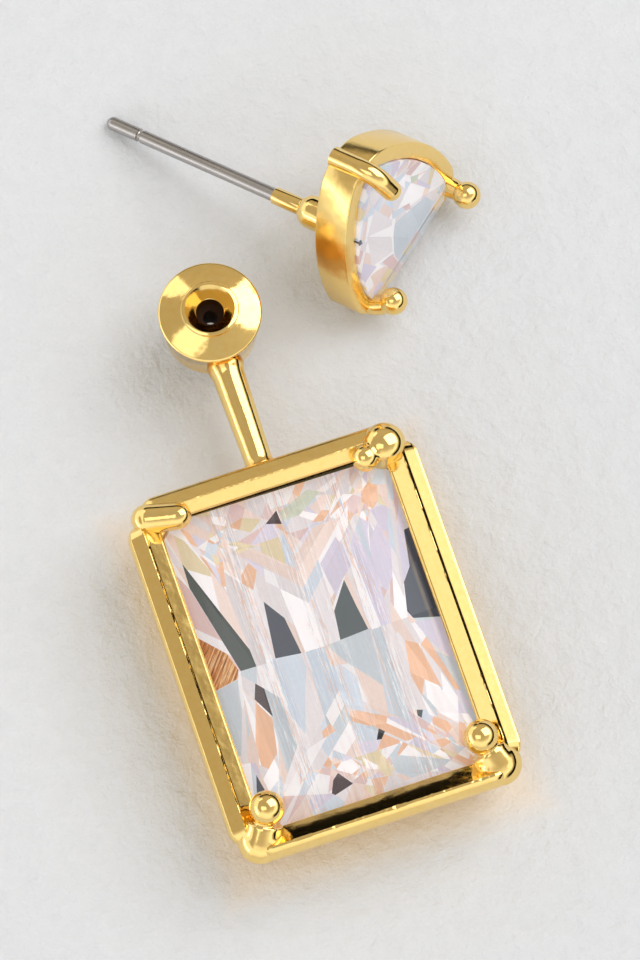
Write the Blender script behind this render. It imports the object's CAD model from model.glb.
# %% [markdown]
# # An ear jacket earring
# This lesson dresses a measured model of an ear jacket earring: a half-moon
# stud with a post, and the jacket that clips behind it with a large clear
# stone. The measured model comes in first and stays where it is. Its sizes
# come again below, so that each piece made here fits it.

# %% Load the measured model
import random
from math import asin, atan2, cos, degrees, exp, hypot, pi, radians, sin, sqrt

import bmesh
import bpy
from bmesh.types import BMEdge, BMFace, BMVert
from mathutils import Matrix, Vector, noise


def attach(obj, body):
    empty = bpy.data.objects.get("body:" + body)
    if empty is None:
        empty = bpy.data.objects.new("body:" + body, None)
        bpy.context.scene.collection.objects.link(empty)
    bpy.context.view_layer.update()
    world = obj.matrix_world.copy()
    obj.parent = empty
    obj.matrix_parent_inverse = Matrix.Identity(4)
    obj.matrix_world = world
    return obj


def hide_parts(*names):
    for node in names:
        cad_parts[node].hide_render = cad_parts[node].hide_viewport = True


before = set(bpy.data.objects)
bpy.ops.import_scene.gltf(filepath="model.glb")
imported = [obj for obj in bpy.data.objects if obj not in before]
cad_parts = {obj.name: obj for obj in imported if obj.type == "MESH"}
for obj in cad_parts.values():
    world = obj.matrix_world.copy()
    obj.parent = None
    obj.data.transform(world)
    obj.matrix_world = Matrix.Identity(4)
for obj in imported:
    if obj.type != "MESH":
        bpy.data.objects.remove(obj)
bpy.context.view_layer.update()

# %% [markdown]
# All sizes below are in millimetres, because a jeweller works in them.
# Blender works in metres, so a piece is scaled once, when it is finished.
# The origin is in the clutch, and the large stone lies towards -Y.

# %% Units and places
MM = 0.001
FLOOR_Z = -1.9
JACKET_Y = -18.5
print("the table is", -FLOOR_Z, "mm below the origin")

# %% [markdown]
# ## The camera
# The photograph was taken from high above and a little to one side, from
# far off, so lines stay almost parallel. A long lens far away does the same.
# The camera looks at one point on the table between the two pieces.

# %% Camera
AIM = Vector((2.975, -9.034, FLOOR_Z)) * MM
AZIMUTH, ELEVATION = radians(-18.6), radians(73.2)
DISTANCE, LENS = 0.45, 324


def add_object(name, data):
    """Puts a camera, a light or a mesh into the scene."""
    made = bpy.data.objects.new(name, data)
    bpy.context.scene.collection.objects.link(made)
    return made


back = Vector((
    sin(AZIMUTH) * cos(ELEVATION),
    -cos(AZIMUTH) * cos(ELEVATION),
    sin(ELEVATION),
))
camera = add_object("camera", bpy.data.cameras.new("camera"))
bpy.context.scene.camera = camera
camera.location = AIM + back * DISTANCE
camera.rotation_mode = "QUATERNION"
camera.rotation_quaternion = (-back).to_track_quat("-Z", "Y")
camera.data.lens = LENS
camera.data.clip_start, camera.data.clip_end = 0.02, 20
print("camera at", [round(1000 * v) for v in camera.location], "mm")

# %% [markdown]
# ## Light
# Polished gold shows what stands round it, so the light is built like a
# small studio: one big soft light high on the right, a weaker one low on
# the left, and a room round them.

# %% Lights
right_hand = Vector((cos(AZIMUTH), sin(AZIMUTH), 0))
away = Vector((-sin(AZIMUTH), cos(AZIMUTH), 0))


def soft_light(name, place, size, power, colour):
    """A rectangular light that faces the earring. Its place is to the right, away and up, in metres."""
    data = bpy.data.lights.new(name, "AREA")
    data.shape = "RECTANGLE"
    data.size, data.size_y = size
    data.energy = power
    data.color = colour
    lamp = add_object(name, data)
    lamp.location = AIM + right_hand * place[0] + away * place[1] + Vector((0, 0, place[2]))
    lamp.rotation_mode = "QUATERNION"
    lamp.rotation_quaternion = (AIM - lamp.location).to_track_quat("-Z", "Y")
    print(name, "at", [round(v, 2) for v in lamp.location])


soft_light("key_light", (0.33, 0.24, 0.53), size=(0.55, 0.55), power=2.36, colour=(0.99, 0.99, 1.0))
soft_light("fill_light", (-0.58, -0.2, 0.14), size=(0.5, 0.1), power=0.3, colour=(1.0, 0.99, 0.98))
bpy.context.scene.view_settings.view_transform = "Standard"

# %% [markdown]
# ## Shader maths
# A finish is a small sum of patterns. Written node by node it is long and
# hard to read, so one class lets a socket be used in an ordinary Python sum,
# and one method makes every other kind of node.


# %% A socket that does sums
def maths(operation, turned=False):
    """A method that adds one Math node. Turned is the form in which the wire comes second."""
    def method(wire, other):
        first, second = (other, wire) if turned else (wire, other)
        return wire.finish.node("ShaderNodeMath", {"operation": operation}, {0: first, 1: second})
    return method


class Wire:
    """The output of a node, which can be added, multiplied and so on."""

    def __init__(self, finish, socket):
        self.finish, self.socket = finish, socket

    __add__, __radd__ = maths("ADD"), maths("ADD", turned=True)
    __sub__, __rsub__ = maths("SUBTRACT"), maths("SUBTRACT", turned=True)
    __mul__, __rmul__ = maths("MULTIPLY"), maths("MULTIPLY", turned=True)
    __gt__, __lt__ = maths("GREATER_THAN"), maths("LESS_THAN")

    def __abs__(self):
        return self.finish.node("ShaderNodeMath", {"operation": "ABSOLUTE"}, {0: self})


class Finish:
    """The nodes of a material or a world, added one at a time."""

    def __init__(self, name, world=None):
        self.owner = world or bpy.data.materials.new(name)
        self.owner.use_nodes = True
        self.tree = self.owner.node_tree
        self.tree.nodes.clear()

    def node(self, kind, settings=None, sockets=None, output=0):
        """Makes a node, sets it, feeds its sockets and gives one of its outputs."""
        made = self.tree.nodes.new(kind)
        for key, value in (settings or {}).items():
            if key == "stops":
                self.set_stops(made.color_ramp, value)
            else:
                setattr(made, key, value)
        for key, value in (sockets or {}).items():
            if isinstance(value, Wire):
                self.tree.links.new(value.socket, made.inputs[key])
            else:
                made.inputs[key].default_value = value
        return Wire(self, made.outputs[output]) if made.outputs else None

    def set_stops(self, ramp, stops):
        """Sets a ramp's stops. Each is a place and a colour, or one number for a grey."""
        while len(ramp.elements) < len(stops):
            ramp.elements.new(1.0)
        for element, (place, colour) in zip(ramp.elements, stops):
            colour = colour if isinstance(colour, tuple) else (colour, colour, colour)
            element.position, element.color = place, (*colour, 1)

    def ramp(self, share, stops):
        return self.node("ShaderNodeValToRGB", {"stops": stops}, {"Fac": share})

    def fade(self, value, start, stop, shape="LINEAR"):
        """A number that goes from 0 to 1 while value goes from start to stop."""
        settings = {"interpolation_type": shape}
        return self.node("ShaderNodeMapRange", settings, {"Value": value, 1: start, 2: stop})

    def part(self, vector, axis):
        """The X, Y or Z of a vector."""
        return self.node("ShaderNodeSeparateXYZ", {}, {0: vector}, output=axis)

    def vector_maths(self, operation, first, second=(0, 0, 0)):
        output = "Value" if operation in ("DOT_PRODUCT", "DISTANCE") else "Vector"
        return self.node("ShaderNodeVectorMath", {"operation": operation}, {0: first, 1: second}, output)

    def stretch(self, place, scale, turn=(0, 0, 0)):
        """Other coordinates, so that a pattern comes out stretched or turned."""
        return self.node("ShaderNodeMapping", {}, {"Vector": place, "Rotation": turn, "Scale": scale})

    def millimetres(self, scale=(1, 1, 1)):
        """The object's own coordinates, in millimetres."""
        place = self.node("ShaderNodeTexCoord", output="Object")
        return self.stretch(place, tuple(s / MM for s in scale))

    def noise(self, place, scale, detail, roughness=0.55):
        sockets = {"Vector": place, "Scale": scale, "Detail": detail, "Roughness": roughness}
        return self.node("ShaderNodeTexNoise", {}, sockets)

    def blend(self, share, first, second, kind="MIX"):
        """Mixes two colours."""
        settings = {"data_type": "RGBA", "blend_type": kind}
        return self.node("ShaderNodeMix", settings, {0: share, 6: first, 7: second}, output=2)

    def bump(self, height, distance, strength, under=None):
        sockets = {"Height": height, "Distance": distance, "Strength": strength}
        if under is not None:
            sockets["Normal"] = under
        return self.node("ShaderNodeBump", {}, sockets)

    def surface(self, sockets):
        """Ends the material in one Principled shader."""
        shader = self.node("ShaderNodeBsdfPrincipled", {}, sockets)
        self.node("ShaderNodeOutputMaterial", {}, {"Surface": shader})
        return self.owner


# %% [markdown]
# ## The room
# A metal surface is only as lively as the room in it. Low down, the room is
# bright towards the camera and on the left, as from white cards. On the far
# side and on the right it is almost black there, and dim and warm higher up,
# but for one bright band. Those edges give polished bars their crisp dark
# lines. The room's shader works this out from the direction.

# %% Sides of the room, from the table's level to straight up
CEILING = (0.5, 0.47, 0.42)
CARD, WINDOW = (1.2, 1.2, 1.19), (1.5, 1.5, 1.48, 1)
NEAR_SIDE = [(0.0, 0.8), (0.3, CARD), (0.55, CARD), (0.8, (0.62, 0.58, 0.53)), (1.0, CEILING)]
FAR_SIDE = [
    (0.0, 0.004), (0.22, 0.006), (0.25, (0.42, 0.38, 0.31)), (0.5, (0.58, 0.52, 0.43)), (1.0, CEILING)]
LEFT_SIDE = [(0.0, 1.2), (0.48, 1.2), (0.53, (0.52, 0.46, 0.37)), (1.0, CEILING)]
RIGHT_SIDE = [
    (0.0, 0.006), (0.2, 0.01), (0.24, (0.36, 0.33, 0.28)), (0.32, (0.5, 0.46, 0.39)),
    (0.37, 1.3), (0.56, 1.3), (0.64, (0.7, 0.65, 0.56)), (1.0, CEILING),
]

# %% Room
world = bpy.data.worlds.new("room")
bpy.context.scene.world = world
room = Finish("room", world)
direction = room.node("ShaderNodeTexCoord", output="Generated")
forward = room.vector_maths("DOT_PRODUCT", direction, away)
sideways = room.vector_maths("DOT_PRODUCT", direction, right_hand)
height = room.part(direction, "Z")
far_share = room.fade(forward, -0.2, 0.2, "SMOOTHSTEP")
left_share = room.fade(sideways, -0.45, -0.7, "SMOOTHSTEP")
right_share = room.fade(sideways, 0.45, 0.7, "SMOOTHSTEP")
glow = room.blend(far_share, room.ramp(height, NEAR_SIDE), room.ramp(height, FAR_SIDE))
glow = room.blend(left_share, glow, room.ramp(height, LEFT_SIDE))
glow = room.blend(right_share, glow, room.ramp(height, RIGHT_SIDE))


def between(value, low, high):
    return (value > low) * (value < high)


low_window = between(height, 0.36, 0.56) * between(sideways, -0.68, -0.42) * (forward > 0.54)
high_window = (height > 0.76) * between(sideways, -0.62, -0.06) * between(forward, -0.46, -0.08)
glow = room.blend(low_window + high_window, glow, WINDOW)
lit = room.node("ShaderNodeBackground", {}, {"Color": glow})
room.node("ShaderNodeOutputWorld", {}, {"Surface": lit})
print("the room has", len(room.tree.nodes), "nodes")

# %% [markdown]
# ## Gold
# The metal is a thin gold plate over a casting. Up close it is never
# perfectly flat: it has slow waves from the polishing wheel, a fine grain
# and small changes of tone where the plate is thicker.

# %% Gold plate
THIN_PLATE, THICK_PLATE = (0.95, 0.64, 0.19, 1), (1.0, 0.75, 0.31, 1)
HEATED = (0.80, 0.36, 0.06, 1)
WAVE_HEIGHT, GRAIN_HEIGHT = 0.4 * MM, 0.02 * MM


def gold_plate(name, roughness, grain, wave, stain=None):
    """Plated gold. stain takes the finish and a place, and gives the share of heat marks."""
    finish = Finish(name)
    place = finish.millimetres()
    slow = finish.noise(place, 0.9, detail=2.0)
    cloud = finish.noise(place, 3.0, detail=4.0)
    fine = finish.noise(place, 22.0, detail=5.0)
    tone = finish.blend(cloud, THIN_PLATE, THICK_PLATE)
    if stain is not None:
        tone = finish.blend(stain(finish, place), tone, HEATED)
    waves = finish.bump(slow, WAVE_HEIGHT, wave)
    return finish.surface({
        "Base Color": tone,
        "Metallic": 1.0,
        "Roughness": roughness + 0.06 * cloud,
        "Normal": finish.bump(fine, GRAIN_HEIGHT, grain, under=waves),
    })


POLISHED_GOLD = gold_plate("polished_gold", roughness=0.05, grain=0.05, wave=0.05)
SATIN_GOLD = gold_plate("satin_gold", roughness=0.19, grain=0.2, wave=0.05)
print("made", POLISHED_GOLD.name, "and", SATIN_GOLD.name)

# %% [markdown]
# ## From a bmesh to a piece
# Every piece below is drawn in millimetres, and the stud's pieces lie flat
# in a frame of their own first. One function then does what they all need:
# it welds seams and turns the faces outwards, where the bmesh isn't clean
# yet, moves the piece to its place and makes it ride with the measured model.

# %% Finish a piece
WELD = 0.0008


def finish_piece(bm, name, material, place=None, sharp=38, welded=True):
    """Turns a bmesh in millimetres into an object in metres.

    Faces are shaded smooth, but for edges over sharp degrees. With 0 they all stay flat.
    """
    if welded:
        bmesh.ops.remove_doubles(bm, verts=bm.verts, dist=WELD)
        bmesh.ops.recalc_face_normals(bm, faces=bm.faces)
    if place is not None:
        bm.transform(place)
    bm.transform(Matrix.Scale(MM, 4))
    data = bpy.data.meshes.new(name)
    bm.to_mesh(data)
    bm.free()
    if sharp:
        data.shade_smooth()
        data.set_sharp_from_angle(angle=radians(sharp))
    data.materials.append(material)
    piece = add_object(name, data)
    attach(piece, "root")
    print(name, "has", len(data.polygons), "faces")
    return piece


# %% [markdown]
# Two ways of making a metal shape come back again and again. A lathe turns
# a profile about an axis. A wire is a round ring pushed along a path and
# resized on the way, which also gives the ball at a prong's tip.

# %% Lathe, path and wire
THINNEST = 0.01


def lathe(profile, steps=96):
    """Turns a line of (radius, height) points once round the Z axis."""
    bm = bmesh.new()
    line = [bm.verts.new((radius, 0, height)) for radius, height in profile]
    edges = [bm.edges.new(pair) for pair in zip(line, line[1:])]
    bmesh.ops.spin(bm, geom=line + edges, cent=(0, 0, 0), axis=(0, 0, 1),
                   angle=2 * pi, steps=steps, use_merge=True)
    return bm


def only(kind, geom):
    """The vertices, edges or faces among what an operator made."""
    return [g for g in geom if isinstance(g, kind)]


def heading(points, i):
    """The direction of a path at one of its points."""
    return (points[min(i + 1, len(points) - 1)] - points[max(i - 1, 0)]).normalized()


def station(point, side, up, ahead):
    """A frame at a point of a path, with its Z axis along the path."""
    turn = Matrix((side, up, ahead)).transposed().to_4x4()
    return Matrix.Translation(point) @ turn


def push_along(bm, verts, edges, frames):
    """Pushes a closed section through the frames, and closes both ends."""
    bmesh.ops.transform(bm, matrix=frames[0], verts=verts)
    first = list(edges)
    for here, there in zip(frames, frames[1:]):
        made = bmesh.ops.extrude_edge_only(bm, edges=edges)["geom"]
        verts, edges = only(BMVert, made), only(BMEdge, made)
        bmesh.ops.transform(bm, matrix=there @ here.inverted(), verts=verts)
    for ring in (first, edges):
        bmesh.ops.contextual_create(bm, geom=ring)


def wire(bm, points, radius_at, sides=28):
    """A round wire along the points. radius_at takes the length so far and the whole length."""
    lengths = [0.0]
    for a, b in zip(points, points[1:]):
        lengths.append(lengths[-1] + (b - a).length)
    frames, side = [], heading(points, 0).orthogonal().normalized()
    for i, (point, length) in enumerate(zip(points, lengths)):
        ahead = heading(points, i)
        side = (side - ahead * side.dot(ahead)).normalized()
        here = station(point, side, ahead.cross(side), ahead)
        frames.append(here @ Matrix.Scale(radius_at(length, lengths[-1]), 4))
    ring = bmesh.ops.create_circle(bm, segments=sides, radius=1)["verts"]
    edges = list({edge for vert in ring for edge in vert.link_edges})
    push_along(bm, ring, edges, frames)


def bent_path(start, corner, end, share=0.4, steps=90):
    """Points from start to end by way of corner, with the corner rounded off."""
    a = corner + (start - corner) * share
    b = corner + (end - corner) * share
    points = []
    for i in range(steps + 1):
        t = i / steps * 3
        if t <= 1:
            points.append(start.lerp(a, t))
        elif t < 2:
            points.append(a.lerp(corner, t - 1).lerp(corner.lerp(b, t - 1), t - 1))
        else:
            points.append(b.lerp(end, t - 2))
    return points


def dome(radius, distance):
    """How wide a ball is at a distance from its pole."""
    return sqrt(max(radius * radius - (radius - distance) ** 2, 0.0))


def ball_tipped(body, ball, round_foot):
    """Radius along a wire that ends in a ball. A round foot goes with a slight neck."""
    neck = 0.9 if round_foot else 1.0

    def radius_at(s, total):
        left = total - s
        tip = dome(ball, left) if left < 2 * ball else 0.0
        blend = min(max((left - ball) / (1.6 * ball), 0.0), 1.0)
        stem = body * (neck + (1 - neck) * blend) if left > ball else 0.0
        foot = dome(body, s) if round_foot and s < body else body
        return max(tip, min(stem, foot), THINNEST)
    return radius_at


# %% [markdown]
# ## The jacket's frame
# The frame is one casting: a low wall with cut corners that leans in towards
# its back, with a ledge inside for the stone. A flat outline with its corners
# bevelled off gives the wall's plan, an inset gives its thickness, and
# extrusions carry both edges down to the table.

# %% Plates and edges
ROUNDING = 0.12


def cut_plate(bm, width, length, corner, segments=1):
    """A flat plate with its corners cut off, or rounded where there are more segments."""
    bmesh.ops.create_grid(bm, x_segments=1, y_segments=1, size=0.5)
    bmesh.ops.scale(bm, vec=(width, length, 1), verts=bm.verts)
    bmesh.ops.bevel(bm, geom=bm.verts[:], affect="VERTICES", offset=corner, segments=segments,
                    profile=0.5, material=-1)


def round_edges(bm, edges):
    bmesh.ops.bevel(bm, geom=edges, affect="EDGES", offset=ROUNDING, segments=3,
                    profile=0.5, material=-1)


# %% Wall of the frame
FRAME_W, FRAME_L, FRAME_H = 15.76, 20.26, 4.4
POCKET_W, POCKET_L = 12.46, 17.36
WALL_H, UPRIGHT_TO, LEAN = FRAME_H - 0.15, 4.1, 1.0
SETBACK, RIM_W, CORNER_CUT = 0.2, 1.45, 1.7
LEDGE_Z, LEDGE_W = 3.55, 0.5
HARD_TURN = 0.5
bm = bmesh.new()
cut_plate(bm, FRAME_W - 2 * SETBACK, FRAME_L - 2 * SETBACK, CORNER_CUT)
bmesh.ops.translate(bm, vec=(0, 0, WALL_H), verts=bm.verts)
inside = bmesh.ops.inset_region(
    bm, faces=bm.faces[:], thickness=RIM_W, use_boundary=True, use_even_offset=True)
rim = [e for e in bm.edges if e.is_boundary]
ring_faces = set(inside["faces"])
floor_face = [f for f in bm.faces if f not in ring_faces][0]
taken = 2 * (SETBACK + RIM_W)
for vert in floor_face.verts:
    vert.co.x *= POCKET_W / (FRAME_W - taken)
    vert.co.y *= POCKET_L / (FRAME_L - taken)
for depth, narrower in ((WALL_H - LEDGE_Z, 0), (0, LEDGE_W), (LEDGE_Z, 0)):
    made = bmesh.ops.extrude_face_region(bm, geom=[floor_face])["geom"]
    bm.faces.remove(floor_face)
    floor_face = only(BMFace, made)[0]
    bmesh.ops.translate(bm, vec=(0, 0, -depth), verts=floor_face.verts)
    shrink = (1 - 2 * narrower / POCKET_W, 1 - 2 * narrower / POCKET_L, 1)
    bmesh.ops.scale(bm, vec=shrink, verts=floor_face.verts)
inner_rim = list(floor_face.edges)
bm.faces.remove(floor_face)
for depth, lean in ((WALL_H - UPRIGHT_TO, 0), (UPRIGHT_TO, LEAN)):
    made = bmesh.ops.extrude_edge_only(bm, edges=rim)["geom"]
    verts, rim = only(BMVert, made), only(BMEdge, made)
    bmesh.ops.translate(bm, vec=(0, 0, -depth), verts=verts)
    bmesh.ops.scale(bm, vec=(1 - 2 * lean / FRAME_W, 1 - 2 * lean / FRAME_L, 1), verts=verts)
bmesh.ops.bridge_loops(bm, edges=rim + inner_rim)
round_edges(bm, [e for e in bm.edges if e.is_manifold and e.calc_face_angle(0) > HARD_TURN])
JACKET = Matrix.Translation((0, JACKET_Y, FLOOR_Z))
jacket_wall = finish_piece(bm, "jacket_wall", POLISHED_GOLD, JACKET)
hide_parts("jacket_setting")

# %% [markdown]
# The bars on top of the wall are what the eye sees. Each has a flat outer
# face, a crest and a flat inner slope that leads down to the stone. It is
# hand finished: the crest was filed, a little more here and a little less
# there, while the faces stayed flat. A fine grid is shaped into one: across
# it follows the profile, along it keeps its length, both ends round off, and
# an uneven height cuts the crest.

# %% How a bar is shaped
BAR_FLOOR, END_SHARE = -0.4, 0.1
FILED_TO, SLOW_FILING, QUICK_FILING = 0.565, 0.035, 0.012


def along_table(table, x):
    """Reads a table of (place, value) between its rows."""
    for (x0, y0), (x1, y1) in zip(table, table[1:]):
        if x <= x1:
            return y0 + (y1 - y0) * (x - x0) / max(x1 - x0, 1e-9)
    return table[-1][1]


def bar(bm, middle, turn, width, run, profile, seed):
    """One bar, with its inner side towards +X before it is turned."""
    grid = bmesh.ops.create_grid(bm, x_segments=60, y_segments=250, size=0.5)["verts"]
    half = run / 2
    for vert in grid:
        across, along = vert.co.x + 0.5, vert.co.y * run
        past = max(abs(along) - (half - width / 2), 0) / (width / 2)
        thin = sqrt(max(1 - past * past, 0.0))
        slow = noise.noise(Vector((along * 0.8, seed, 0)))
        quick = noise.noise(Vector((along * 3.7, seed, 3)))
        filed_top = FILED_TO + SLOW_FILING * slow + QUICK_FILING * quick
        height = min(along_table(profile, across), filed_top)
        x = (across - 0.5) * width * (END_SHARE + (1 - END_SHARE) * thin)
        vert.co = Vector((x, along, BAR_FLOOR + (height - BAR_FLOOR) * thin))
    bmesh.ops.contextual_create(bm, geom=[e for e in bm.edges if e.is_boundary])
    bmesh.ops.recalc_face_normals(bm, faces=bm.faces[:])
    place = Matrix.Translation(middle) @ Matrix.Rotation(radians(turn), 4, "Z")
    bmesh.ops.transform(bm, matrix=place, verts=grid)


# %% [markdown]
# A profile goes from the outer side, at 0, to the inner side, at 1. Its
# heights are above the wall's full height. No two bars were filed alike.

# %% Profiles of the bars
SHOULDER = [(0, BAR_FLOOR), (0.004, -0.16), (0.02, -0.02), (0.05, 0.1)]
LEFT_RIDGE = SHOULDER + [
    (0.09, 0.22), (0.47, 0.57), (0.48, 0.575), (0.55, 0.46),
    (0.92, 0.015), (0.96, -0.02), (1, -0.1), (1, -0.36)]
RIGHT_RIDGE = SHOULDER + [
    (0.09, 0.12), (0.42, 0.443), (0.5, 0.565), (0.92, 0.045), (0.96, 0.01), (1, -0.08), (1, -0.36)]
UPPER_RIDGE = SHOULDER + [
    (0.1, 0.2), (0.16, 0.265), (0.6, 0.572), (0.62, 0.577),
    (0.93, 0.2), (0.97, 0.14), (1, 0.02), (1, -0.36)]
LOW_END = [
    (0, BAR_FLOOR), (0.006, -0.2), (0.02, -0.02), (0.04, 0.12), (0.08, 0.27), (0.12, 0.38), (0.18, 0.48),
    (0.24, 0.555), (0.27, 0.585), (0.3, 0.6), (0.95, -0.075), (0.98, -0.1), (1, -0.16), (1, -0.36)]

# %% Left, right and lower bar
SIDE_BAR, END_BAR = 1.8, 1.55
SIDE_RUN, END_RUN = 17.9, 13.5
side_middle, end_middle = (FRAME_W - SIDE_BAR) / 2, (FRAME_L - END_BAR) / 2
bm = bmesh.new()
bar(bm, Vector((-side_middle, 0, FRAME_H)), 0, SIDE_BAR, SIDE_RUN, LEFT_RIDGE, seed=1.3)
bar(bm, Vector((side_middle, 0, FRAME_H)), 180, SIDE_BAR, SIDE_RUN, RIGHT_RIDGE, seed=5.7)
bar(bm, Vector((0, -end_middle, FRAME_H)), 90, END_BAR, END_RUN, LOW_END, seed=14.9)
jacket_bars = finish_piece(bm, "jacket_bars", POLISHED_GOLD, JACKET, sharp=12, welded=False)
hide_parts("jacket_setting")

# %% [markdown]
# The bar at the clutch's end has a broad outer face that was left satin, so
# it is a piece of its own with the softer finish.

# %% Upper bar
bm = bmesh.new()
bar(bm, Vector((0, end_middle, FRAME_H)), -90, END_BAR, END_RUN, UPPER_RIDGE, seed=9.1)
upper_bar = finish_piece(bm, "jacket_upper_bar", SATIN_GOLD, JACKET, sharp=12, welded=False)
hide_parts("jacket_setting")

# %% [markdown]
# ## Prongs
# Each prong has a thick round shoulder that grows out of the frame's corner,
# an arm that leans over the stone and a ball at its tip. Shoulder and arm are
# wires. The ball is a sphere of its own, sunk into the arm's end. A voxel
# remesh makes one skin of them, and a smoothing rounds their joints as
# molten metal would.

# %% Sizes of the jacket's stone and prongs
STONE_W, STONE_L, STONE_CUT = 12.4, 17.3, 0.9
GIRDLE_TOP, CROWN_SLOPE, PRONG_PLAY = 3.9, 0.5625, 0.03
FOOT_IN, FOOT_Z, DOME_SHARE, ARM_DIP = 0.3, 0.8, 0.85, 0.6
# Columns: the corner, how far inside it the ball lies, the radii of ball,
# shoulder and arm, how far outside it the shoulder's middle stands and how
# high, and which share of the way to the ball the arm goes.
PRONGS = [
    ((-1, 1), (1.2, 0.05), (0.68, 0.82, 0.78), (0.4, 0.4), 4.4, 1),
    ((1, 1), (1.1, 0.2), (0.74, 1.14, 0.72), (0.1, 0.3), 4.6, 1),
    ((1, -1), (0.3, 1.05), (0.93, 1.25, 1.1), (0.2, 0.3), 4.0, 0.6),
    ((-1, -1), (0.55, 0.95), (0.93, 1.25, 1.1), (0.2, 0.3), 4.0, 0.6),
]


def shoulder_radius(body):
    """Radius along a shoulder, which swells from its root to a flattened dome."""
    def radius_at(s, total):
        left, started = min((total - s) / (DOME_SHARE * body), 1), min(s / (0.7 * body), 1)
        root = (0.68 + 0.32 * s / total) * dome(1, started)
        return max(body * min(root, dome(1, left)), THINNEST)
    return radius_at


# %% Prongs of the jacket
bm = bmesh.new()
for (sx, sy), (inx, iny), (ball, body, arm), (outx, outy), high, reach in PRONGS:
    corner = Vector((sx * STONE_W / 2, sy * STONE_L / 2, 0))
    shoulder = corner + Vector((sx * outx, sy * outy, high))
    foot = corner + Vector((sx * -FOOT_IN, sy * -FOOT_IN, FOOT_Z))
    over = max(0, min(inx, iny, (inx + iny - STONE_CUT) / sqrt(2)))
    lift = GIRDLE_TOP + over * CROWN_SLOPE + ball * hypot(1, CROWN_SLOPE) + PRONG_PLAY
    tip = corner + Vector((-sx * inx, -sy * iny, lift))
    top = shoulder + (shoulder - foot).normalized() * body * DOME_SHARE
    eased = [(1 - cos(pi * i / 70)) / 2 for i in range(71)]
    wire(bm, [foot.lerp(top, share) for share in eased], shoulder_radius(body), 36)
    arm_end = shoulder.lerp(tip, reach) - Vector((0, 0, ARM_DIP * (1 - reach)))
    arm_line = [shoulder.lerp(arm_end, i / 24) for i in range(25)]
    wire(bm, arm_line, lambda s, total: arm * (1.0 - 0.1 * s / total), 36)
    bmesh.ops.create_uvsphere(
        bm, u_segments=40, v_segments=24, radius=ball, matrix=Matrix.Translation(tip))
prongs = finish_piece(bm, "jacket_prongs", POLISHED_GOLD, JACKET)
melt = prongs.modifiers.new("melt", "REMESH")
melt.mode, melt.voxel_size, melt.use_smooth_shade = "VOXEL", 0.065 * MM, True
soften = prongs.modifiers.new("soften", "SMOOTH")
soften.factor, soften.iterations = 0.5, 14
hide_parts("jacket_setting")

# %% [markdown]
# ## Stem and clutch
# A stem joins the frame to the clutch. It is soldered at both ends, which
# leaves a small swelling and an orange mark. The clutch is turned work: a
# wide dished face, a funnel that leads the post in, and a barrel behind.

# %% Stem
STEM_START, STEM_Z, STEM_STEP, STEM_STEPS = -8.9, 1.1, 0.08, 86
stem_line = [Vector((0, STEM_START + i * STEM_STEP, STEM_Z)) for i in range(STEM_STEPS + 1)]


def swelling(distance, middle, spread):
    """What the solder adds to the radius, at a distance from the stem's end."""
    return 0.1 * exp(-((distance - middle) / spread) ** 2)


def stem_radius(s, total):
    return 0.7 + 0.2 * s / total + (swelling(s, 0.62, 0.28) + swelling(total - s, 0.5, 0.3))


def solder_stain(finish, place):
    """Orange marks at both ends of the stem, with ragged edges."""
    along = finish.part(place, "Y")
    ragged = finish.noise(place, 2.6, detail=5.0)
    near_frame = finish.fade(along + 0.5 * ragged, -7.7, -8.1)
    near_clutch = finish.fade(along + 1.2 * ragged, -2.3, -1.8)
    return near_frame + near_clutch


bm = bmesh.new()
wire(bm, stem_line, stem_radius, 40)
SOLDERED_GOLD = gold_plate("soldered_gold", roughness=0.05, grain=0.05, wave=0.05, stain=solder_stain)
stem = finish_piece(bm, "jacket_stem", SOLDERED_GOLD)
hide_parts("jacket_setting")

# %% Clutch
MOUTH_R, THROAT_R, BARREL_R, DISC_R = 1.3, 0.73, 2.45, 2.7
GRIP_R, GRIP_TOP = 1.3, 2.09
funnel = []
for angle in range(0, 90, 6):
    across, down = cos(radians(angle) / 2), sin(radians(angle))
    funnel.append((MOUTH_R - (MOUTH_R - THROAT_R) * down, 2.9 + 0.68 * (1 - down) * across))
face_and_barrel = [
    (GRIP_R, 0), (2.25, 0), (BARREL_R, 0.2), (BARREL_R, 2.4), (2.5, 2.5), (2.66, 2.7), (DISC_R, 2.78),
    (DISC_R, 2.92), (2.66, 2.98), (2.6, 3.01), (1.52, 3.45), (1.47, 3.53), (1.38, 3.57)]
hole = [(THROAT_R, 2.5), (THROAT_R, GRIP_TOP), (GRIP_R, GRIP_TOP), (GRIP_R, 0)]
bm = lathe(face_and_barrel + funnel + hole)
clutch = finish_piece(bm, "clutch_body", POLISHED_GOLD, sharp=30)
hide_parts("jacket_setting")

# %% [markdown]
# ## The stud's setting
# The stud lies on its flat side and on the tip of its post. It is drawn lying
# flat, face up, and one matrix lays it on the table the way it rests there.
# The outline of the half moon is drawn as with compasses: a point is turned
# about one centre after another, and a strip of metal is pushed along it.

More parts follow.
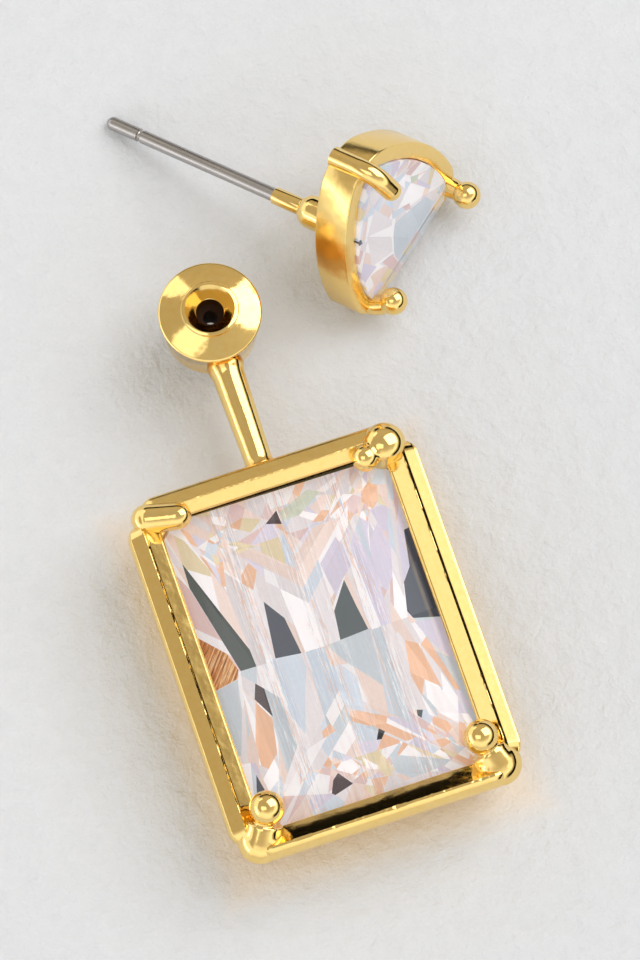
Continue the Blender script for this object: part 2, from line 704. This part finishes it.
# %% The stud's place
BAND_HALF_W, BAND_H, BAND_T, BAND_DEPTH = 4.7, 8.4, 0.9, 2.0
TOP_R, CORNER_R, DROP = 2.45, 1.4, 0.65
POST_SIDE, POST_UP, POST_R, POST_TIP = -2.1, 4.9, 0.36, -14.65
STUD_X, STUD_Y, STUD_TURN = 10.2, 2.7, radians(40)
rest_run, rest_rise = -POST_TIP - POST_R, POST_UP + DROP
tilt = atan2(rest_rise, rest_run) - asin(POST_R / hypot(rest_run, rest_rise))
STUD = (
    Matrix.Translation((STUD_X, STUD_Y, DROP * cos(tilt) + FLOOR_Z))
    @ Matrix.Rotation(STUD_TURN, 4, "Z")
    @ Matrix.Rotation(pi / 2 - tilt, 4, "X")
)
print("the stud leans back by", round(degrees(tilt), 1), "degrees")

# %% The half moon's outline
TOP_Y, SPRING = BAND_H - TOP_R, CORNER_R - DROP
rise, step = TOP_Y - SPRING, BAND_HALF_W - TOP_R
SHIFT = (rise * rise - step * step) / (2 * step)
JOIN = atan2(rise, SHIFT)


def half_moon(inset, flat_to, steps=14):
    """Points of the outline, anticlockwise, from flat_to on its flat side round to -flat_to."""
    half, corner = BAND_HALF_W - inset, CORNER_R - inset
    arcs = [
        (Vector((half - corner, SPRING)), corner, -pi / 2, 0),
        (Vector((-SHIFT, SPRING)), half + SHIFT, 0, JOIN),
        (Vector((0, TOP_Y)), TOP_R - inset, JOIN, pi - JOIN),
        (Vector((SHIFT, SPRING)), half + SHIFT, pi - JOIN, pi),
        (Vector((corner - half, SPRING)), corner, pi, 1.5 * pi),
    ]
    points = [Vector((flat_to, inset - DROP, 0))]
    for centre, radius, start, stop in arcs:
        for i in range(steps + 1):
            turn = start + (stop - start) * i / steps
            spot = Vector((centre.x + radius * cos(turn), centre.y + radius * sin(turn), 0))
            if (spot - points[-1]).length > 0.02:
                points.append(spot)
    points.append(Vector((-flat_to, inset - DROP, 0)))
    return points


# %% Band
OPEN_TO, BAND_ROUNDING = 2.5, 0.1
bm = bmesh.new()
cut_plate(bm, BAND_T, BAND_DEPTH, BAND_ROUNDING, 3)
path = half_moon(BAND_T / 2, OPEN_TO)
frames = []
for i, point in enumerate(path):
    ahead = heading(path, i)
    inward = Vector((-ahead.y, ahead.x, 0))
    frames.append(station(point + Vector((0, 0, BAND_DEPTH / 2)), inward, Vector((0, 0, 1)), ahead))
section, section_edges = list(bm.verts), list(bm.edges)
for face in list(bm.faces):
    bm.faces.remove(face)
push_along(bm, section, section_edges, frames)


def heat_stain(finish, place):
    """An orange mark on the band's left side."""
    centre = STUD @ Vector((-4.3, 4.9, 0.9))
    reach = finish.vector_maths("DISTANCE", place, tuple(centre))
    ragged = finish.noise(place, 1.4, detail=4.0)
    return 0.85 * finish.fade(reach + 1.2 * ragged, 2.3, 1.6)


STAINED_GOLD = gold_plate("stained_gold", roughness=0.16, grain=0.2, wave=0.08, stain=heat_stain)
band = finish_piece(bm, "stud_band", STAINED_GOLD, STUD)
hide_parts("stud_setting")

# %% Back plate
BACK_T, BACK_INSET = 0.45, 0.02
bm = bmesh.new()
plate = bm.faces.new([bm.verts.new(p) for p in half_moon(BACK_INSET, 1)])
made = bmesh.ops.extrude_face_region(bm, geom=[plate])["geom"]
bmesh.ops.translate(bm, vec=(0, 0, BACK_T), verts=only(BMVert, made))
round_edges(bm, [e for e in bm.edges if all(v.co.z < BACK_T / 2 for v in e.verts)])
stud_back = finish_piece(bm, "stud_back", SATIN_GOLD, STUD)
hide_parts("stud_setting")

# %% Claws
CLAW_R = 0.55
# Columns: foot, bend, the ball's middle and radius, and whether the foot is round.
CLAWS = [
    ((-3.85, -0.05, 0.1), (-3.85, -0.05, 2.275), (-3.25, 0.25, 3.12), 0.73, True),
    ((3.85, -0.05, 0.1), (3.85, -0.05, 2.275), (3.75, 0.1, 3.32), 0.73, True),
    ((0, 8.35, 0.06), (0, 8.35, 2.55), (0, 7.05, 3.23), 0.55, False),
]
bm = bmesh.new()
for foot, bend, middle, ball, round_foot in CLAWS:
    foot, bend, middle = Vector(foot), Vector(bend), Vector(middle)
    end = middle + (middle - bend).normalized() * ball
    wire(bm, bent_path(foot, bend, end), ball_tipped(CLAW_R, ball, round_foot))
claws = finish_piece(bm, "stud_claws", POLISHED_GOLD, STUD)
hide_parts("stud_setting")

# %% Boss and collar
BOSS_R, BOSS_Z, COLLAR_R, COLLAR_Z = 0.9, -1.15, 0.46, -3.65
boss_dome = []
for angle in range(0, 66, 6):
    turn = radians(angle)
    boss_dome.append((BOSS_R * cos(turn), BOSS_Z - BOSS_R * sin(turn)))
collar = [(COLLAR_R, -1.95), (COLLAR_R, COLLAR_Z + 0.05), (COLLAR_R - 0.04, COLLAR_Z), (POST_R, COLLAR_Z)]
bm = lathe([(BOSS_R, 0.2)] + boss_dome + collar, 64)
on_stud = STUD @ Matrix.Translation((POST_SIDE, POST_UP, 0))
boss = finish_piece(bm, "stud_boss", POLISHED_GOLD, on_stud)
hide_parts("stud_setting")

# %% [markdown]
# ## How a cut stone shows itself
# Through the top of a clear stone one sees its back facets as in a mirror:
# some give back the light, some the dark of the room, some split it into
# warm and cool tints. A true tracing of that light would need thousands of
# samples and would change with every lamp. So the measured stone stays as
# the clear outer body, and the facets that it shows are laid inside it, as
# a thin shell that is cut facet by facet, each with a tone of its own.

# %% Tones of the facets
TONES = {
    "white": (0.91, 0.89, 0.91), "pearl": (0.75, 0.71, 0.73), "ice": (0.61, 0.68, 0.77),
    "lilac": (0.65, 0.61, 0.73), "mist": (0.55, 0.61, 0.66), "blush": (0.81, 0.66, 0.60),
    "rose": (0.71, 0.53, 0.52), "peach": (0.82, 0.50, 0.33), "straw": (0.75, 0.64, 0.42),
    "sage": (0.59, 0.64, 0.52), "amber": (0.60, 0.22, 0.05), "brown": (0.055, 0.032, 0.036),
    "slate": (0.05, 0.06, 0.085), "moss": (0.045, 0.06, 0.055), "smoke": (0.10, 0.12, 0.13),
    "ink": (0.006, 0.007, 0.01),
}
BANDED, STRIPED, PLAIN = 1.0, 0.5, 0.0
KINDS = {"amber": BANDED, **dict.fromkeys(("brown", "slate", "moss", "smoke", "ink"), PLAIN)}

# %% [markdown]
# A facet is cut into the plate line by line. `bisect_plane` cuts everything
# that a plane meets, so it is given only the facets that the line really
# crosses. All facets stay convex, which makes that test short: the line is
# clipped against each side of the facet, and something must be left of it.

# %% Cut a facet
SHORTEST_CUT = 0.03


def crosses(facet, start, end):
    """Whether the line from start to end runs through the inside of a convex facet."""
    first, last = 0.0, 1.0
    for loop in facet.loops:
        corner = loop.vert.co
        side = loop.link_loop_next.vert.co - corner
        at_start = side.x * (start.y - corner.y) - side.y * (start.x - corner.x)
        at_end = side.x * (end.y - corner.y) - side.y * (end.x - corner.x)
        if at_start <= 0 and at_end <= 0:
            return False
        if at_start < 0:
            first = max(first, at_start / (at_start - at_end))
        elif at_end < 0:
            last = min(last, at_start / (at_start - at_end))
    return (last - first) * (end - start).length > SHORTEST_CUT


def cut_line(bm, start, end):
    """Cuts the facets between start and end along that line."""
    start, end = Vector((*start, 0)), Vector((*end, 0))
    crossed = [f for f in bm.faces if crosses(f, start, end)]
    geom = set(crossed)
    for facet in crossed:
        geom.update(facet.edges)
        geom.update(facet.verts)
    along = end - start
    if crossed:
        bmesh.ops.bisect_plane(
            bm, geom=list(geom), dist=0.002, plane_co=start, plane_no=(-along.y, along.x, 0))


def sides_of(outline):
    return zip(outline, outline[1:] + outline[:1])


def holds(outline, spot):
    """Whether a point lies inside an outline, whichever way round that runs."""
    inside = False
    for (x0, y0), (x1, y1) in sides_of(outline):
        if (y0 > spot.y) != (y1 > spot.y) and spot.x < x0 + (x1 - x0) * (spot.y - y0) / (y1 - y0):
            inside = not inside
    return inside


def small_cut(draw, x, y, shortest, longest):
    """A line through a point, with its direction and half its length drawn at random."""
    turn, reach = draw.uniform(0, pi), draw.uniform(shortest, longest)
    step_x, step_y = reach * cos(turn), reach * sin(turn)
    return [(x - step_x, y - step_y), (x + step_x, y + step_y)]


def cut_facets(bm, lines, marked, pick_tone, seed):
    """Cuts all lines and marked facets, and gives each facet its tone and its lean."""
    for line in lines:
        for start, end in zip(line, line[1:]):
            cut_line(bm, start, end)
    for _, *outline in marked:
        for start, end in sides_of(outline):
            cut_line(bm, start, end)
    tones = bm.loops.layers.float_color.new("tone")
    leans = bm.loops.layers.float_color.new("lean")
    draw = random.Random(seed)
    for facet in bm.faces:
        spot = facet.calc_center_median()
        tone = pick_tone(spot, draw)
        for name, *outline in marked:
            if holds(outline, spot):
                tone = name
        change = draw.uniform(0.94, 1.04)
        shade = (*(part * change for part in TONES[tone]), 1)
        lean = (draw.uniform(0, 1), draw.uniform(0, 1), KINDS.get(tone, STRIPED), 1)
        for loop in facet.loops:
            loop[tones], loop[leans] = shade, lean


# %% [markdown]
# The large stone has the same cut in all four quarters, so its lines are
# written for one quarter and mirrored. What the light makes of it isn't
# symmetric. The facets that stand out, dark or warm, are marked one by one
# with their tone and corners, in millimetres from the stone's middle. Where
# two of them meet, the later one wins.

# %% Plan of the large stone
QUARTER = [
    [(0, 0), (6.3, 0)], [(0, 0), (0, 3.3)], [(0, 2.45), (6.3, 8.75)], [(0, 3.3), (2.9, 6.1), (4.4, 7.9)],
    [(0, 4.2), (2.1, 6.1), (4.2, 8.7)], [(3.65, 0), (5.6, 6.4), (5.9, 7.9)],
    [(4.5, 0), (5.6, 4.9), (6.3, 6.4)], [(3.65, 0), (3.85, 4), (4.5, 7)], [(2.6, 0), (2.3, 3.9)],
    [(3.1, 0), (2.95, 4.6), (3.3, 5.9)], [(1, 0), (1.2, 4.4)], [(0, 6.2), (2.9, 6.2)], [(0, 7), (4.4, 8.7)],
    [(0.3, 6.7), (2, 8.7)], [(2.1, 6.1), (0, 7.6)], [(2.9, 6.1), (1, 7.3), (0, 8.7)], [(4.5, 7), (2.4, 7.6)],
    [(4, 4.6), (5, 7.9)], [(4.6, 2.4), (4.3, 5.6), (5.4, 8.3)], [(2.95, 4.6), (4.3, 6.4)],
    [(3.3, 5.9), (3.4, 8.7)], [(5, 1.9), (6.3, 3.1)],
]
MARKED = [
    ("moss", (-5.55, 6.35), (-5.6, 5), (-4.5, 0), (-3.65, 0), (-3.7, 0.95)),
    ("slate", (-2.2, 3.2), (-1.45, 2.05), (-1.22, 0), (-2.6, 0)),
    ("smoke", (2.1, 3), (1.1, 1.6), (0.9, 0), (2.45, 0), (2.25, 1.5)),
    ("slate", (5.85, 4.45), (5.5, 2.5), (4.95, 1.8), (4.62, 0.3), (4.8, -0.15), (6.3, -0.6), (6.3, 4.5)),
    ("amber", (-6.3, 2.6), (-4.9, 1.1), (-4.6, 0.1), (-4.75, -0.35), (-6.3, -0.68)),
    ("brown", (-4, -0.85), (-3.65, -1.25), (-3.7, -2.8), (-4.3, -1.65)),
    ("brown", (-1.5, -6.7), (-0.95, -7.5), (-2, -7.8), (-2.15, -7.65), (-1.85, -7)),
    ("ink", (1.25, -5.1), (1.5, -5.35), (1.2, -5.7), (0.95, -5.65)),
    ("brown", (-0.8, 7.05), (-0.05, 7.55), (0, 6.8)),
    ("peach", (-4.3, -1.8), (-3.75, -2.9), (-4.1, -4.7), (-4.8, -5.4), (-5.1, -5.1), (-5, -3.9)),
    ("blush", (-5.05, -3.2), (-5.2, -4.9), (-5.7, -4.8), (-5.4, -3.7)),
    ("peach", (4, -1.1), (4.6, -1.5), (5, -4.1), (4.3, -3.4), (3.9, -4.2), (3.7, -3)),
    ("peach", (5.1, -1.3), (5.85, -4.5), (5.6, -4.5), (5.2, -3), (4.7, -1.6)),
    ("white", (4.3, -3.5), (5, -4.3), (5.2, -3.3), (5.6, -4.9), (5.2, -6.2), (4.5, -5.4), (4.1, -4.4)),
    ("peach", (4.1, -5.4), (4.7, -5.9), (4.8, -6.3), (4.5, -6.5), (3.95, -5.8)),
    ("peach", (0.1, -3.7), (0.5, -3.8), (1.9, -4.6), (1.7, -4.95), (0.8, -4.8), (0.1, -4.3)),
    ("peach", (-1, -4), (-0.9, -4.5), (-1.6, -4.7), (-1.55, -4.3)),
    ("peach", (-2.3, 5.4), (-2, 4.9), (-2.5, 3.95), (-2.95, 4.45), (-2.85, 4.9)),
    ("peach", (-3.5, 5.9), (-3.8, 4.5), (-4, 4.7), (-3.7, 5.9)),
    ("peach", (4.4, 7.1), (4.9, 7.5), (5.3, 7.2), (5.1, 6.4), (4.7, 6.05), (4.3, 6.6)),
    ("blush", (5.3, 7.2), (5.75, 7.1), (5.5, 5.7), (5.3, 6.4)),
    ("peach", (1.5, 6.4), (2.2, 6.85), (2.6, 6.7), (2.1, 6.3)),
    ("blush", (4, 1), (4.25, -0.2), (3.75, -0.6), (3.6, -0.1)),
    ("blush", (-2.6, 6), (-0.2, 3.5), (0, 3.3), (0, 4.3), (-1.9, 6.1)),
    ("blush", (0, 3.3), (2.7, 5.9), (2.9, 6.2), (1.5, 6.15), (0, 4.9)),
    ("lilac", (2.4, 5.3), (2.75, 4.4), (2.7, 3.6), (2.05, 3.05), (1.45, 2.3), (1.2, 4.2)),
    ("lilac", (4.7, 5.3), (4.95, 3.9), (4.5, 2.3), (4, 1.7), (3.85, 1.9), (3.7, 3.4), (4, 4.5)),
    ("mist", (0.1, 0), (2.5, 0.1), (2.4, -1.5), (2.2, -3), (1.7, -2.3), (0.9, -1.3)),
    ("ice", (-2.9, 0.15), (-1.3, 0), (-1.2, -0.8), (-1.8, -2.3), (-2.4, -4.2), (-2.8, -3)),
    ("ice", (0, -1.1), (0.5, -1.2), (1.1, -2.1), (0.9, -3.7), (0, -3.3)),
    ("lilac", (4.8, -0.4), (6.3, -0.6), (6.3, -3.4), (5.3, -1.7)),
    ("mist", (-6.3, -0.7), (-4.8, -0.4), (-5.1, -2), (-5.9, -4.3), (-6.3, -4.3)),
    ("straw", (0.5, -7.1), (0.95, -6.4), (1.3, -7.5), (0.7, -7.6)),
    ("sage", (0.05, 7.4), (1.8, 8.1), (2.4, 7.8), (1, 6.95), (0.1, 6.95)),
    ("mist", (1.3, -6.6), (4.2, -7.9), (3.8, -8.1), (2, -8.2), (1.3, -7.6)),
    ("smoke", (3.4, -4.8), (3.7, -4.9), (3.5, -5.3), (3.35, -5.1)),
    ("slate", (-5.5, -5.5), (-5.3, -6.6), (-5.8, -6.5)),
    ("straw", (-3, 6.6), (-2.6, 6.7), (-1.7, 6.15), (-1.9, 6.05)),
    ("white", (-0.5, 8.5), (-0.3, 7.7), (0.6, 7.7), (1.4, 8.6)),
    ("ink", (-4.9, 8.6), (5, 8.5), (5, 8.7), (-4.9, 8.7)),
]
print(len(MARKED), "marked facets")

# %% Pale tones
ENDS = "blush white pearl rose peach lilac ice blush straw white pearl".split()
LOWER_HALF = "ice white pearl ice white mist blush pearl".split()
UPPER_HALF = "white ice pearl blush lilac pearl white rose".split()


def pick_large(spot, draw):
    """A pale tone for an unmarked facet: calm in the middle, warm and busy at the ends."""
    if -5 < spot.y < 0:
        return draw.choice(LOWER_HALF)
    return draw.choice(ENDS if abs(spot.y) > 5.4 else UPPER_HALF)


# %% [markdown]
# The shell starts as a flat plate with the girdle's outline. Once it is cut,
# it is given a thickness, its top sinks to a shallow valley and its underside
# to the back of the stone, just inside the measured one.

# %% Facets of the large stone
GIRDLE_PLAY, SHELL_CUT, SMALL_CUTS = 0.1, 0.87, 70
SHELL_TOP, VALLEY = GIRDLE_TOP - 0.03, 0.6
SHELL_BACK, BACK_DEPTH = GIRDLE_TOP - 0.26, 0.9 * 3.2
BACK_TABLE = [(0, 0), (0.26, 0.5), (0.6, 0.84), (1, 1)]
bm = bmesh.new()
cut_plate(bm, STONE_W - GIRDLE_PLAY, STONE_L - GIRDLE_PLAY, SHELL_CUT)
lines = [[(sx * x, sy * y) for x, y in line] for line in QUARTER for sx in (1, -1) for sy in (1, -1)]
draw_cuts = random.Random(31)
for _ in range(SMALL_CUTS):
    x, y = draw_cuts.uniform(-5.6, 5.6), draw_cuts.choice((-1, 1)) * draw_cuts.uniform(5.4, 8.4)
    lines.append(small_cut(draw_cuts, x, y, 0.3, 0.9))
cut_facets(bm, lines, MARKED, pick_large, seed=5)
print("the large stone shows", len(bm.faces), "facets")
made = bmesh.ops.extrude_face_region(bm, geom=bm.faces[:])["geom"]
top = set(only(BMVert, made))
for vert in bm.verts:
    x, y = vert.co.xy
    share = max(min(STONE_W / 2 - abs(x), STONE_L / 2 - abs(y)), 0) / (STONE_W / 2)
    if vert in top:
        vert.co.z = SHELL_TOP - VALLEY * share
    else:
        vert.co.z = SHELL_BACK - BACK_DEPTH * along_table(BACK_TABLE, share)

# %% [markdown]
# The finish reads each facet's tone, and tilts its normal by its lean. It
# adds the fine lines in which a stone repeats its own edges: stripes on all
# but the dark facets, and slanting bands on the amber one.

# %% Finish of the facets
ZONES = [
    (0, 1), (0.06, 0.9), (0.1, 0.1), (0.17, 0.6), (0.25, 0.1),
    (0.38, 0.2), (0.44, 1), (0.53, 1), (0.6, 0.15), (1, 0.1),
]
HAZE, MOTTLE = (0.95, 0.95, 1.0, 1), (0.6, 0.6, 0.62, 1)
LEAN_SHARE = (0.35, 0.35, 0.0)


def streaks(finish, place, low, high):
    """Thin lines where a stretched noise lies between two values."""
    lines = finish.noise(place, 1.0, detail=3.0, roughness=0.7)
    return finish.ramp(lines, [(0.0, 0), (low, 0), ((low + high) / 2, 1), (high, 0)])


def facet_finish(name, stripes):
    """Tone and sparkle of the facets. stripes is the strength of the lines along the stone."""
    finish = Finish(name)
    place = finish.millimetres()
    tone = finish.node("ShaderNodeAttribute", {"attribute_name": "tone"}, output="Color")
    lean = finish.node("ShaderNodeAttribute", {"attribute_name": "lean"}, output="Color")
    kind = finish.part(lean, "Z")
    banded, bright = kind > 0.75, kind > 0.25
    striped = bright * finish.ramp(abs(finish.part(place, "X")) * (1 / 6.2), ZONES) * stripes
    upright = finish.millimetres((7.0, 0.3, 0.3))
    fine = finish.millimetres((15.0, 0.5, 0.3))
    across = finish.stretch(place, (0.5, 0.5, 0.5), turn=(0, 0, radians(38)))
    slanted = finish.stretch(across, (15.0, 0.5, 0.3))
    tone = finish.blend(finish.noise(place, 0.8, 2.0) * 0.2, tone, HAZE, "MULTIPLY")
    for where, low, high, mask, colour in (
        (upright, 0.55, 0.65, striped, (0.76, 0.44, 0.28, 1)),
        (fine, 0.33, 0.45, striped, (1.0, 1.0, 1.0, 1)),
        (fine, 0.54, 0.66, striped * 0.7, (0.40, 0.42, 0.50, 1)),
        (slanted, 0.52, 0.64, banded, (0.92, 0.72, 0.42, 1)),
        (slanted, 0.36, 0.46, banded, (0.10, 0.04, 0.04, 1)),
    ):
        tone = finish.blend(streaks(finish, where, low, high) * mask, tone, colour)
    mottled = finish.noise(place, 5.0, detail=4.0, roughness=0.7)
    tone = finish.blend(0.3 * mottled * bright, tone, MOTTLE, "MULTIPLY")
    centred = finish.vector_maths("SUBTRACT", lean, (0.5, 0.5, 0.5))
    level = finish.vector_maths("MULTIPLY", centred, LEAN_SHARE)
    normal = finish.node("ShaderNodeNewGeometry", output="Normal")
    leaning = finish.vector_maths("NORMALIZE", finish.vector_maths("ADD", normal, level))
    return finish.surface({
        "Base Color": tone,
        "Roughness": 0.28,
        "Normal": leaning,
        "Emission Color": tone,
        "Emission Strength": 0.26,
    })


STONE_FACETS = facet_finish("stone_facets", stripes=0.8)
finish_piece(bm, "jacket_stone_facets", STONE_FACETS, JACKET, sharp=0)

# %% [markdown]
# The stud's half moon is cut in the same way, in the stud's own lying frame.
# It is smaller, so its facets are finer, and most of them are pale.

# %% Plan of the stud's stone
MOON_LINES = [
    [(0, 2.7), (-1.1, 1), (-1.2, -0.9)], [(0, 2.7), (3.2, 0.9), (4.2, 0.4)],
    [(0, 2.7), (-0.6, 4.9), (-0.6, 7.6)], [(0, 2.7), (1, 5), (1.7, 7)], [(-1.1, 1), (-2.1, 3.9), (-3.1, 6)],
    [(-1.1, 1), (-4, 2.2)], [(-1.2, -0.4), (-3.9, 1)], [(-2.1, 3.9), (-4.2, 3.3)],
    [(-2.1, 3.9), (-0.6, 4.9), (1, 5), (3.2, 4.2)], [(0, 2.7), (2.4, 3.3), (3.8, 2.4)],
    [(2.4, 3.3), (3.2, 0.9), (2.6, -0.6)], [(-2.4, 5), (-0.6, 6.3), (1.2, 6.2)],
]
MOON_MARKED = [
    ("slate", (-2.65, 5.05), (-2.35, 4.75), (-2.4, 4.35), (-2.7, 4.7)),
    ("ice", (-1.75, 5.9), (-1.4, 5.6), (-1.5, 5.2)),
    ("rose", (-2.4, 6.1), (-2, 6.1), (-1.1, 7.2), (-1.4, 7.3)),
    ("blush", (-0.4, 4.3), (0.1, 4.4), (0.35, 3.2), (-0.1, 3.1)),
    ("rose", (0.9, 2.6), (1.4, 2.2), (1.3, 1.7), (1, 2)),
    ("sage", (2.2, 3.7), (2.7, 3.3), (2.5, 2.9), (2.1, 3.1)),
    ("blush", (-3, 1.7), (-2.4, 1.3), (-2.6, 0.6), (-3.1, 0.9)),
    ("rose", (-1.9, 1.3), (-1.2, 1), (-1.2, -0.4), (-1.7, 0)),
    ("mist", (-1, 1), (0, 2.3), (2.4, 1.2), (2.6, 0.4), (-1.1, 0.4)),
    ("blush", (2, -0.6), (3.6, -0.6), (3.4, 0), (2.2, -0.2)),
]
MOON_EDGE = "blush white pearl rose white lilac ice straw".split()
MOON_MIDDLE = "white ice pearl white lilac pearl blush".split()
MOON_INSET = 0.96
print(len(MOON_MARKED), "marked facets")


def moon_depth(x, y):
    """How far a point lies inside the half moon's outline."""
    flat = y - (MOON_INSET - DROP)
    if y < TOP_Y:
        side = BAND_HALF_W - MOON_INSET + SHIFT - hypot(abs(x) + SHIFT, y - SPRING)
    else:
        side = TOP_R - MOON_INSET - hypot(x, y - TOP_Y)
    return max(min(flat, side), 0.0)


def pick_moon(spot, draw):
    return draw.choice(MOON_EDGE if moon_depth(spot.x, spot.y) < 0.7 else MOON_MIDDLE)


# %% Facets of the stud's stone
MOON_TOP, MOON_VALLEY = 2.12, 0.3
MOON_BACK, MOON_DEPTH, MOON_SLOPE = MOON_TOP - 0.25, 1.05, 1.29
bm = bmesh.new()
bm.faces.new([bm.verts.new(p) for p in half_moon(MOON_INSET, 1)])
bmesh.ops.recalc_face_normals(bm, faces=bm.faces)
if bm.faces[:][0].normal.z < 0:
    bmesh.ops.reverse_faces(bm, faces=bm.faces)
draw_cuts = random.Random(12)
lines = list(MOON_LINES)
while len(lines) < 75:
    x, y = draw_cuts.uniform(-3.7, 3.7), draw_cuts.uniform(0.3, 7.4)
    cut = small_cut(draw_cuts, x, y, 0.2, 0.7)
    if moon_depth(x, y) < 1.3:
        lines.append(cut)
cut_facets(bm, lines, MOON_MARKED, pick_moon, seed=8)
print("the half moon shows", len(bm.faces), "facets")
made = bmesh.ops.extrude_face_region(bm, geom=bm.faces[:])["geom"]
top = set(only(BMVert, made))
for vert in bm.verts:
    share = min(moon_depth(vert.co.x, vert.co.y) / MOON_SLOPE, 1)
    vert.co.z = MOON_TOP - MOON_VALLEY * share if vert in top else MOON_BACK - MOON_DEPTH * share
MOON_FACETS = facet_finish("moon_facets", stripes=0.0)
finish_piece(bm, "stud_stone_facets", MOON_FACETS, STUD, sharp=0)

# %% [markdown]
# The clear body around the facets only reflects and lets through. Its share
# of reflection comes from the Fresnel law. It is kept weak, because the
# facets inside already stand for most of the stone's reflections.

# %% Clear body
INDEX, MIRROR_SHARE = 1.7, 0.6
finish = Finish("clear_stone")
facing = finish.node("ShaderNodeFresnel", {}, {"IOR": INDEX})
through = finish.node("ShaderNodeBsdfTransparent", {}, {"Color": (1.0, 1.0, 1.0, 1)})
mirror = finish.node("ShaderNodeBsdfAnisotropic", {}, {"Color": (1.0, 1.0, 1.0, 1), "Roughness": 0.02})
mixed = finish.node("ShaderNodeMixShader", {}, {0: facing * MIRROR_SHARE, 1: through, 2: mirror})
finish.node("ShaderNodeOutputMaterial", {}, {"Surface": mixed})
for name in ("jacket_stone", "stud_stone"):
    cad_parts[name].material_slots[0].material = finish.owner

# %% [markdown]
# ## Post and grip
# The post is drawn wire: the die leaves fine lines along it, and handling
# leaves a little dirt. The noise is stretched along the post, so a Mapping
# node first turns the post's direction to Z. The grip inside the clutch is
# soft dark rubber. It is matt and only a little uneven.

# %% Drawn steel
DARK_STEEL, PALE_STEEL, DIRT = (0.34, 0.32, 0.31, 1), (0.56, 0.54, 0.53, 1), (0.30, 0.26, 0.22, 1)
finish = Finish("drawn_steel")
post_way = (STUD.to_3x3() @ Vector((0, 0, 1))).normalized()
to_upright = post_way.rotation_difference(Vector((0, 0, 1))).to_euler()
upright = finish.stretch(finish.millimetres(), (1, 1, 1), turn=tuple(to_upright))
die_lines = finish.noise(finish.stretch(upright, (14.0, 14.0, 0.25)), 1.0, detail=4.0, roughness=0.7)
dirt = finish.noise(upright, 1.6, detail=4.0)
tone = finish.blend(die_lines, DARK_STEEL, PALE_STEEL)
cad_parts["stud_post"].material_slots[0].material = finish.surface({
    "Base Color": finish.blend(dirt * 0.25, tone, DIRT),
    "Metallic": 1.0,
    "Roughness": 0.2 + 0.16 * die_lines,
    "Normal": finish.bump(die_lines, 0.012 * MM, 0.6),
})
print("post along", [round(v, 2) for v in post_way])

# %% Rubber
DARK_RUBBER, PALE_RUBBER = (0.016, 0.007, 0.005, 1), (0.04, 0.02, 0.014, 1)
finish = Finish("soft_rubber")
place = finish.millimetres()
bloom = finish.noise(place, 2.5, detail=4.0)
pores = finish.noise(place, 16.0, detail=3.0)
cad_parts["clutch_grip"].material_slots[0].material = finish.surface({
    "Base Color": finish.blend(bloom, DARK_RUBBER, PALE_RUBBER),
    "Roughness": 0.7 + 0.2 * bloom,
    "Specular IOR Level": 0.15,
    "Normal": finish.bump(pores, 0.03 * MM, 0.5),
})

# %% [markdown]
# ## The table
# The pieces lie on thick white paper. Its tooth is a fine bump. Polished gold
# throws a little warm light onto the paper beside it. Few samples can't
# trace that light, so the paper is tinted slightly round the frame.

# %% Sheet of paper
SHEET_HALF = 1.2
bm = bmesh.new()
bmesh.ops.create_grid(bm, x_segments=1, y_segments=1, size=SHEET_HALF)
bmesh.ops.translate(bm, verts=bm.verts, vec=(0, 0, FLOOR_Z * MM))
paper_data = bpy.data.meshes.new("paper")
bm.to_mesh(paper_data)
bm.free()
paper = add_object("paper", paper_data)

# %% Finish of the paper
HOLLOW, RAISED, WARM = (0.685, 0.705, 0.74, 1), (0.753, 0.775, 0.812, 1), (0.95, 0.72, 0.45, 1)
UNDERCUT, GLOW_REACH, GLOW_SHARE = 0.8, 2.6, 0.4
sheet = Finish("paper")
place = sheet.millimetres()
tooth = sheet.noise(place, 0.9, detail=6.0, roughness=0.62)


def from_middle(axis, middle, half):
    """How far a place lies outside a strip along one axis."""
    return abs(sheet.part(place, axis) - middle) - half


outside = sheet.node("ShaderNodeMath", {"operation": "MAXIMUM"}, {
    0: from_middle("X", 0, FRAME_W / 2 - UNDERCUT),
    1: from_middle("Y", JACKET_Y, FRAME_L / 2 - UNDERCUT),
})
golden = sheet.fade(outside, GLOW_REACH, 0, "SMOOTHSTEP")
white = sheet.blend(tooth, HOLLOW, RAISED)
paper_data.materials.append(sheet.surface({
    "Base Color": sheet.blend(golden * GLOW_SHARE, white, WARM),
    "Roughness": 0.85,
    "Normal": sheet.bump(tooth, 0.35 * MM, 0.8),
}))
